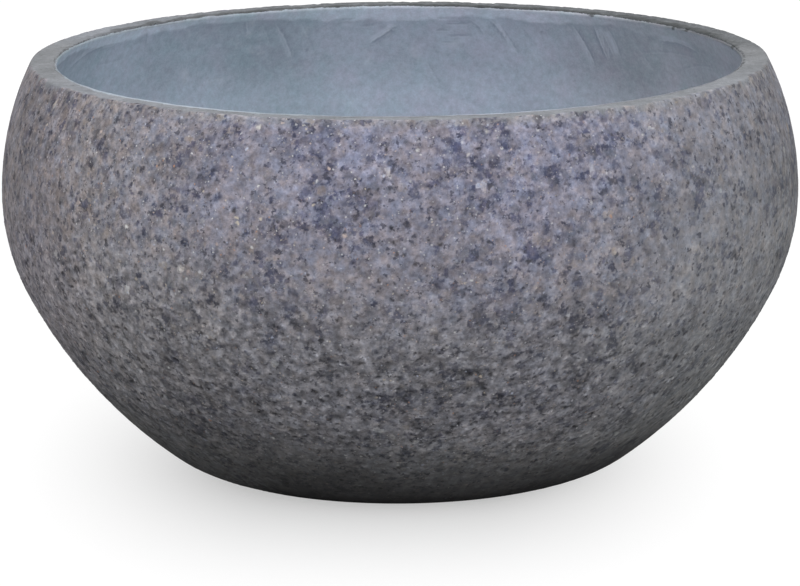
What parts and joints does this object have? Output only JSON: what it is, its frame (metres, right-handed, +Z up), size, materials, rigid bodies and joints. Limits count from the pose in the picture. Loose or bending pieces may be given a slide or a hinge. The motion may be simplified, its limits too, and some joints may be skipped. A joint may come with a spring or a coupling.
{
  "type": "bowl planter",
  "caption": "Wide round bowl planter of layered fibre cement with a washed-aggregate outside, a smooth rim, a sealed inside and a plugged drain hole.",
  "frame": {"origin": "on the ground, under the middle of the foot", "axes": "+Z up along the bowl's axis, +X through one of the two water channels under the foot"},
  "size_m": [0.4999, 0.5, 0.258],
  "materials": {
    "cement": "smooth trowelled cement, matt",
    "aggregate": "exposed aggregate, matt with small glints",
    "glass_fibre": "woven glass mat in cement slurry",
    "sealer": "brushed cement-based waterproof coat, matt",
    "sleeve_plastic": "moulded, matt",
    "plug_rubber": "moulded, satin"
  },
  "bodies": {
    "planter": {"cement_shell": "cement", "aggregate_facing": "aggregate", "glass_fibre_mat": "glass_fibre", "interior_sealer": "sealer", "drain_sleeve": "sleeve_plastic"},
    "drain_plug": {"drain_plug": "plug_rubber"}
  },
  "joints": [
    {"name": "plug_lift", "type": "slide", "parent": "planter", "child": "drain_plug", "axis": [0, 0, 1], "range_m": [0, 0.26]}
  ]
}
